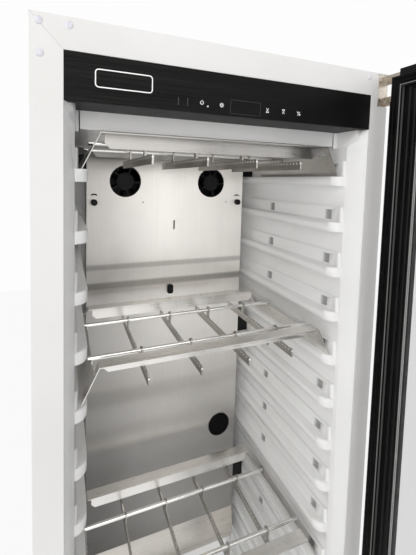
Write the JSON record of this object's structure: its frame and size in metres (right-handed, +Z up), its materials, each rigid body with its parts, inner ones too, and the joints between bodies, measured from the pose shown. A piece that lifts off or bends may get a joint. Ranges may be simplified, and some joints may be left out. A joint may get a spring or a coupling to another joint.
{
  "type": "dry curing cabinet",
  "caption": "Tall free-standing dry curing cabinet with open glazed door, railed white liner, stainless duct cover with fans, and hanging racks with sliding blades.",
  "frame": {"origin": "middle of the bounding box's footprint on the floor, with the door open as in the picture", "axes": "+X to the right seen from the front, +Y from the front into the cabinet, +Z up"},
  "size_m": [0.6574, 1.1252, 1.65],
  "materials": {
    "casing_paint": "satin light grey",
    "frame_paint": "semi-gloss white",
    "liner_plastic": "smooth light grey-white",
    "foam": "rigid foam",
    "glass": "clear",
    "nickel": "satin nickel",
    "aluminium": "mill",
    "black_steel": "satin black",
    "black_fascia": "brushed black",
    "black_frame": "satin black",
    "gasket_rubber": "matte black",
    "stainless": "brushed",
    "black_plastic": "matte black"
  },
  "bodies": {
    "cabinet": {"air_filter": "black_plastic", "back_cover": "casing_paint", "base_pan": "black_steel", "compressor": "black_steel", "control_fascia": "black_fascia", "control_housing": "black_plastic", "duct_cover": "stainless", "duct_scoop": "stainless", "evaporator": "aluminium", "fan_left_frame": "black_plastic", "fan_right_frame": "black_plastic", "front_frame": "frame_paint", "insulation": "foam", "liner_back": "liner_plastic", "liner_ceiling": "liner_plastic", "liner_floor": "liner_plastic", "liner_wall_left": "liner_plastic", "liner_wall_right": "liner_plastic", "lower_bracket_left": "black_plastic", "lower_bracket_right": "black_plastic", "lower_hinge": "nickel", "middle_bracket_left": "black_plastic", "middle_bracket_right": "black_plastic", "outer_shell": "casing_paint", "power_inlet": "black_plastic", "sensor_cover": "black_plastic", "thumb_screw_left": "black_plastic", "thumb_screw_right": "black_plastic", "upper_bracket_left": "black_plastic", "upper_bracket_right": "black_plastic", "upper_hinge": "nickel"},
    "door": {"door_frame": "black_frame", "door_trim": "stainless", "door_gasket": "gasket_rubber", "door_handle": "stainless", "outer_pane": "glass", "inner_pane": "glass"},
    "upper_rack": {"upper_rack_frame": "stainless", "upper_rack_front_rod": "stainless", "upper_rack_back_rod": "stainless"},
    "upper_rack_blade_1": {"upper_rack_blade_1": "stainless"},
    "upper_rack_blade_2": {"upper_rack_blade_2": "stainless"},
    "upper_rack_blade_3": {"upper_rack_blade_3": "stainless"},
    "upper_rack_blade_4": {"upper_rack_blade_4": "stainless"},
    "middle_rack": {"middle_rack_frame": "stainless", "middle_rack_front_rod": "stainless", "middle_rack_back_rod": "stainless"},
    "middle_rack_blade_1": {"middle_rack_blade_1": "stainless"},
    "middle_rack_blade_2": {"middle_rack_blade_2": "stainless"},
    "middle_rack_blade_3": {"middle_rack_blade_3": "stainless"},
    "middle_rack_blade_4": {"middle_rack_blade_4": "stainless"},
    "lower_rack": {"lower_rack_frame": "stainless", "lower_rack_front_rod": "stainless", "lower_rack_back_rod": "stainless"},
    "lower_rack_blade_1": {"lower_rack_blade_1": "stainless"},
    "lower_rack_blade_2": {"lower_rack_blade_2": "stainless"},
    "lower_rack_blade_3": {"lower_rack_blade_3": "stainless"},
    "lower_rack_blade_4": {"lower_rack_blade_4": "stainless"},
    "fan_left_rotor": {"fan_left_rotor": "black_plastic"},
    "fan_right_rotor": {"fan_right_rotor": "black_plastic"}
  },
  "joints": [
    {"name": "door_hinge", "type": "hinge", "parent": "cabinet", "child": "door", "pos_m": [0.25826, 0.02414, 0.87], "axis": [0, 0, 1], "range_deg": [-91.4, 13.6]},
    {"name": "upper_rack_slide", "type": "slide", "parent": "cabinet", "child": "upper_rack", "axis": [0, -1, 0], "range_m": [-0.038, 0.12]},
    {"name": "upper_rack_blade_1_slide", "type": "slide", "parent": "upper_rack", "child": "upper_rack_blade_1", "axis": [1, 0, 0], "range_m": [-0.04, 0.04]},
    {"name": "upper_rack_blade_2_slide", "type": "slide", "parent": "upper_rack", "child": "upper_rack_blade_2", "axis": [1, 0, 0], "range_m": [-0.04, 0.04]},
    {"name": "upper_rack_blade_3_slide", "type": "slide", "parent": "upper_rack", "child": "upper_rack_blade_3", "axis": [1, 0, 0], "range_m": [-0.04, 0.04]},
    {"name": "upper_rack_blade_4_slide", "type": "slide", "parent": "upper_rack", "child": "upper_rack_blade_4", "axis": [1, 0, 0], "range_m": [-0.04, 0.04]},
    {"name": "middle_rack_slide", "type": "slide", "parent": "cabinet", "child": "middle_rack", "axis": [0, -1, 0], "range_m": [-0.038, 0.12]},
    {"name": "middle_rack_blade_1_slide", "type": "slide", "parent": "middle_rack", "child": "middle_rack_blade_1", "axis": [1, 0, 0], "range_m": [-0.04, 0.04]},
    {"name": "middle_rack_blade_2_slide", "type": "slide", "parent": "middle_rack", "child": "middle_rack_blade_2", "axis": [1, 0, 0], "range_m": [-0.04, 0.04]},
    {"name": "middle_rack_blade_3_slide", "type": "slide", "parent": "middle_rack", "child": "middle_rack_blade_3", "axis": [1, 0, 0], "range_m": [-0.04, 0.04]},
    {"name": "middle_rack_blade_4_slide", "type": "slide", "parent": "middle_rack", "child": "middle_rack_blade_4", "axis": [1, 0, 0], "range_m": [-0.04, 0.04]},
    {"name": "lower_rack_slide", "type": "slide", "parent": "cabinet", "child": "lower_rack", "axis": [0, -1, 0], "range_m": [-0.038, 0.12]},
    {"name": "lower_rack_blade_1_slide", "type": "slide", "parent": "lower_rack", "child": "lower_rack_blade_1", "axis": [1, 0, 0], "range_m": [-0.04, 0.04]},
    {"name": "lower_rack_blade_2_slide", "type": "slide", "parent": "lower_rack", "child": "lower_rack_blade_2", "axis": [1, 0, 0], "range_m": [-0.04, 0.04]},
    {"name": "lower_rack_blade_3_slide", "type": "slide", "parent": "lower_rack", "child": "lower_rack_blade_3", "axis": [1, 0, 0], "range_m": [-0.04, 0.04]},
    {"name": "lower_rack_blade_4_slide", "type": "slide", "parent": "lower_rack", "child": "lower_rack_blade_4", "axis": [1, 0, 0], "range_m": [-0.04, 0.04]},
    {"name": "fan_left_spin", "type": "hinge", "parent": "cabinet", "child": "fan_left_rotor", "pos_m": [-0.14804, 0.40894, 1.446], "axis": [0, 1, 0], "continuous": true},
    {"name": "fan_right_spin", "type": "hinge", "parent": "cabinet", "child": "fan_right_rotor", "pos_m": [0.08096, 0.40894, 1.446], "axis": [0, 1, 0], "continuous": true}
  ]
}
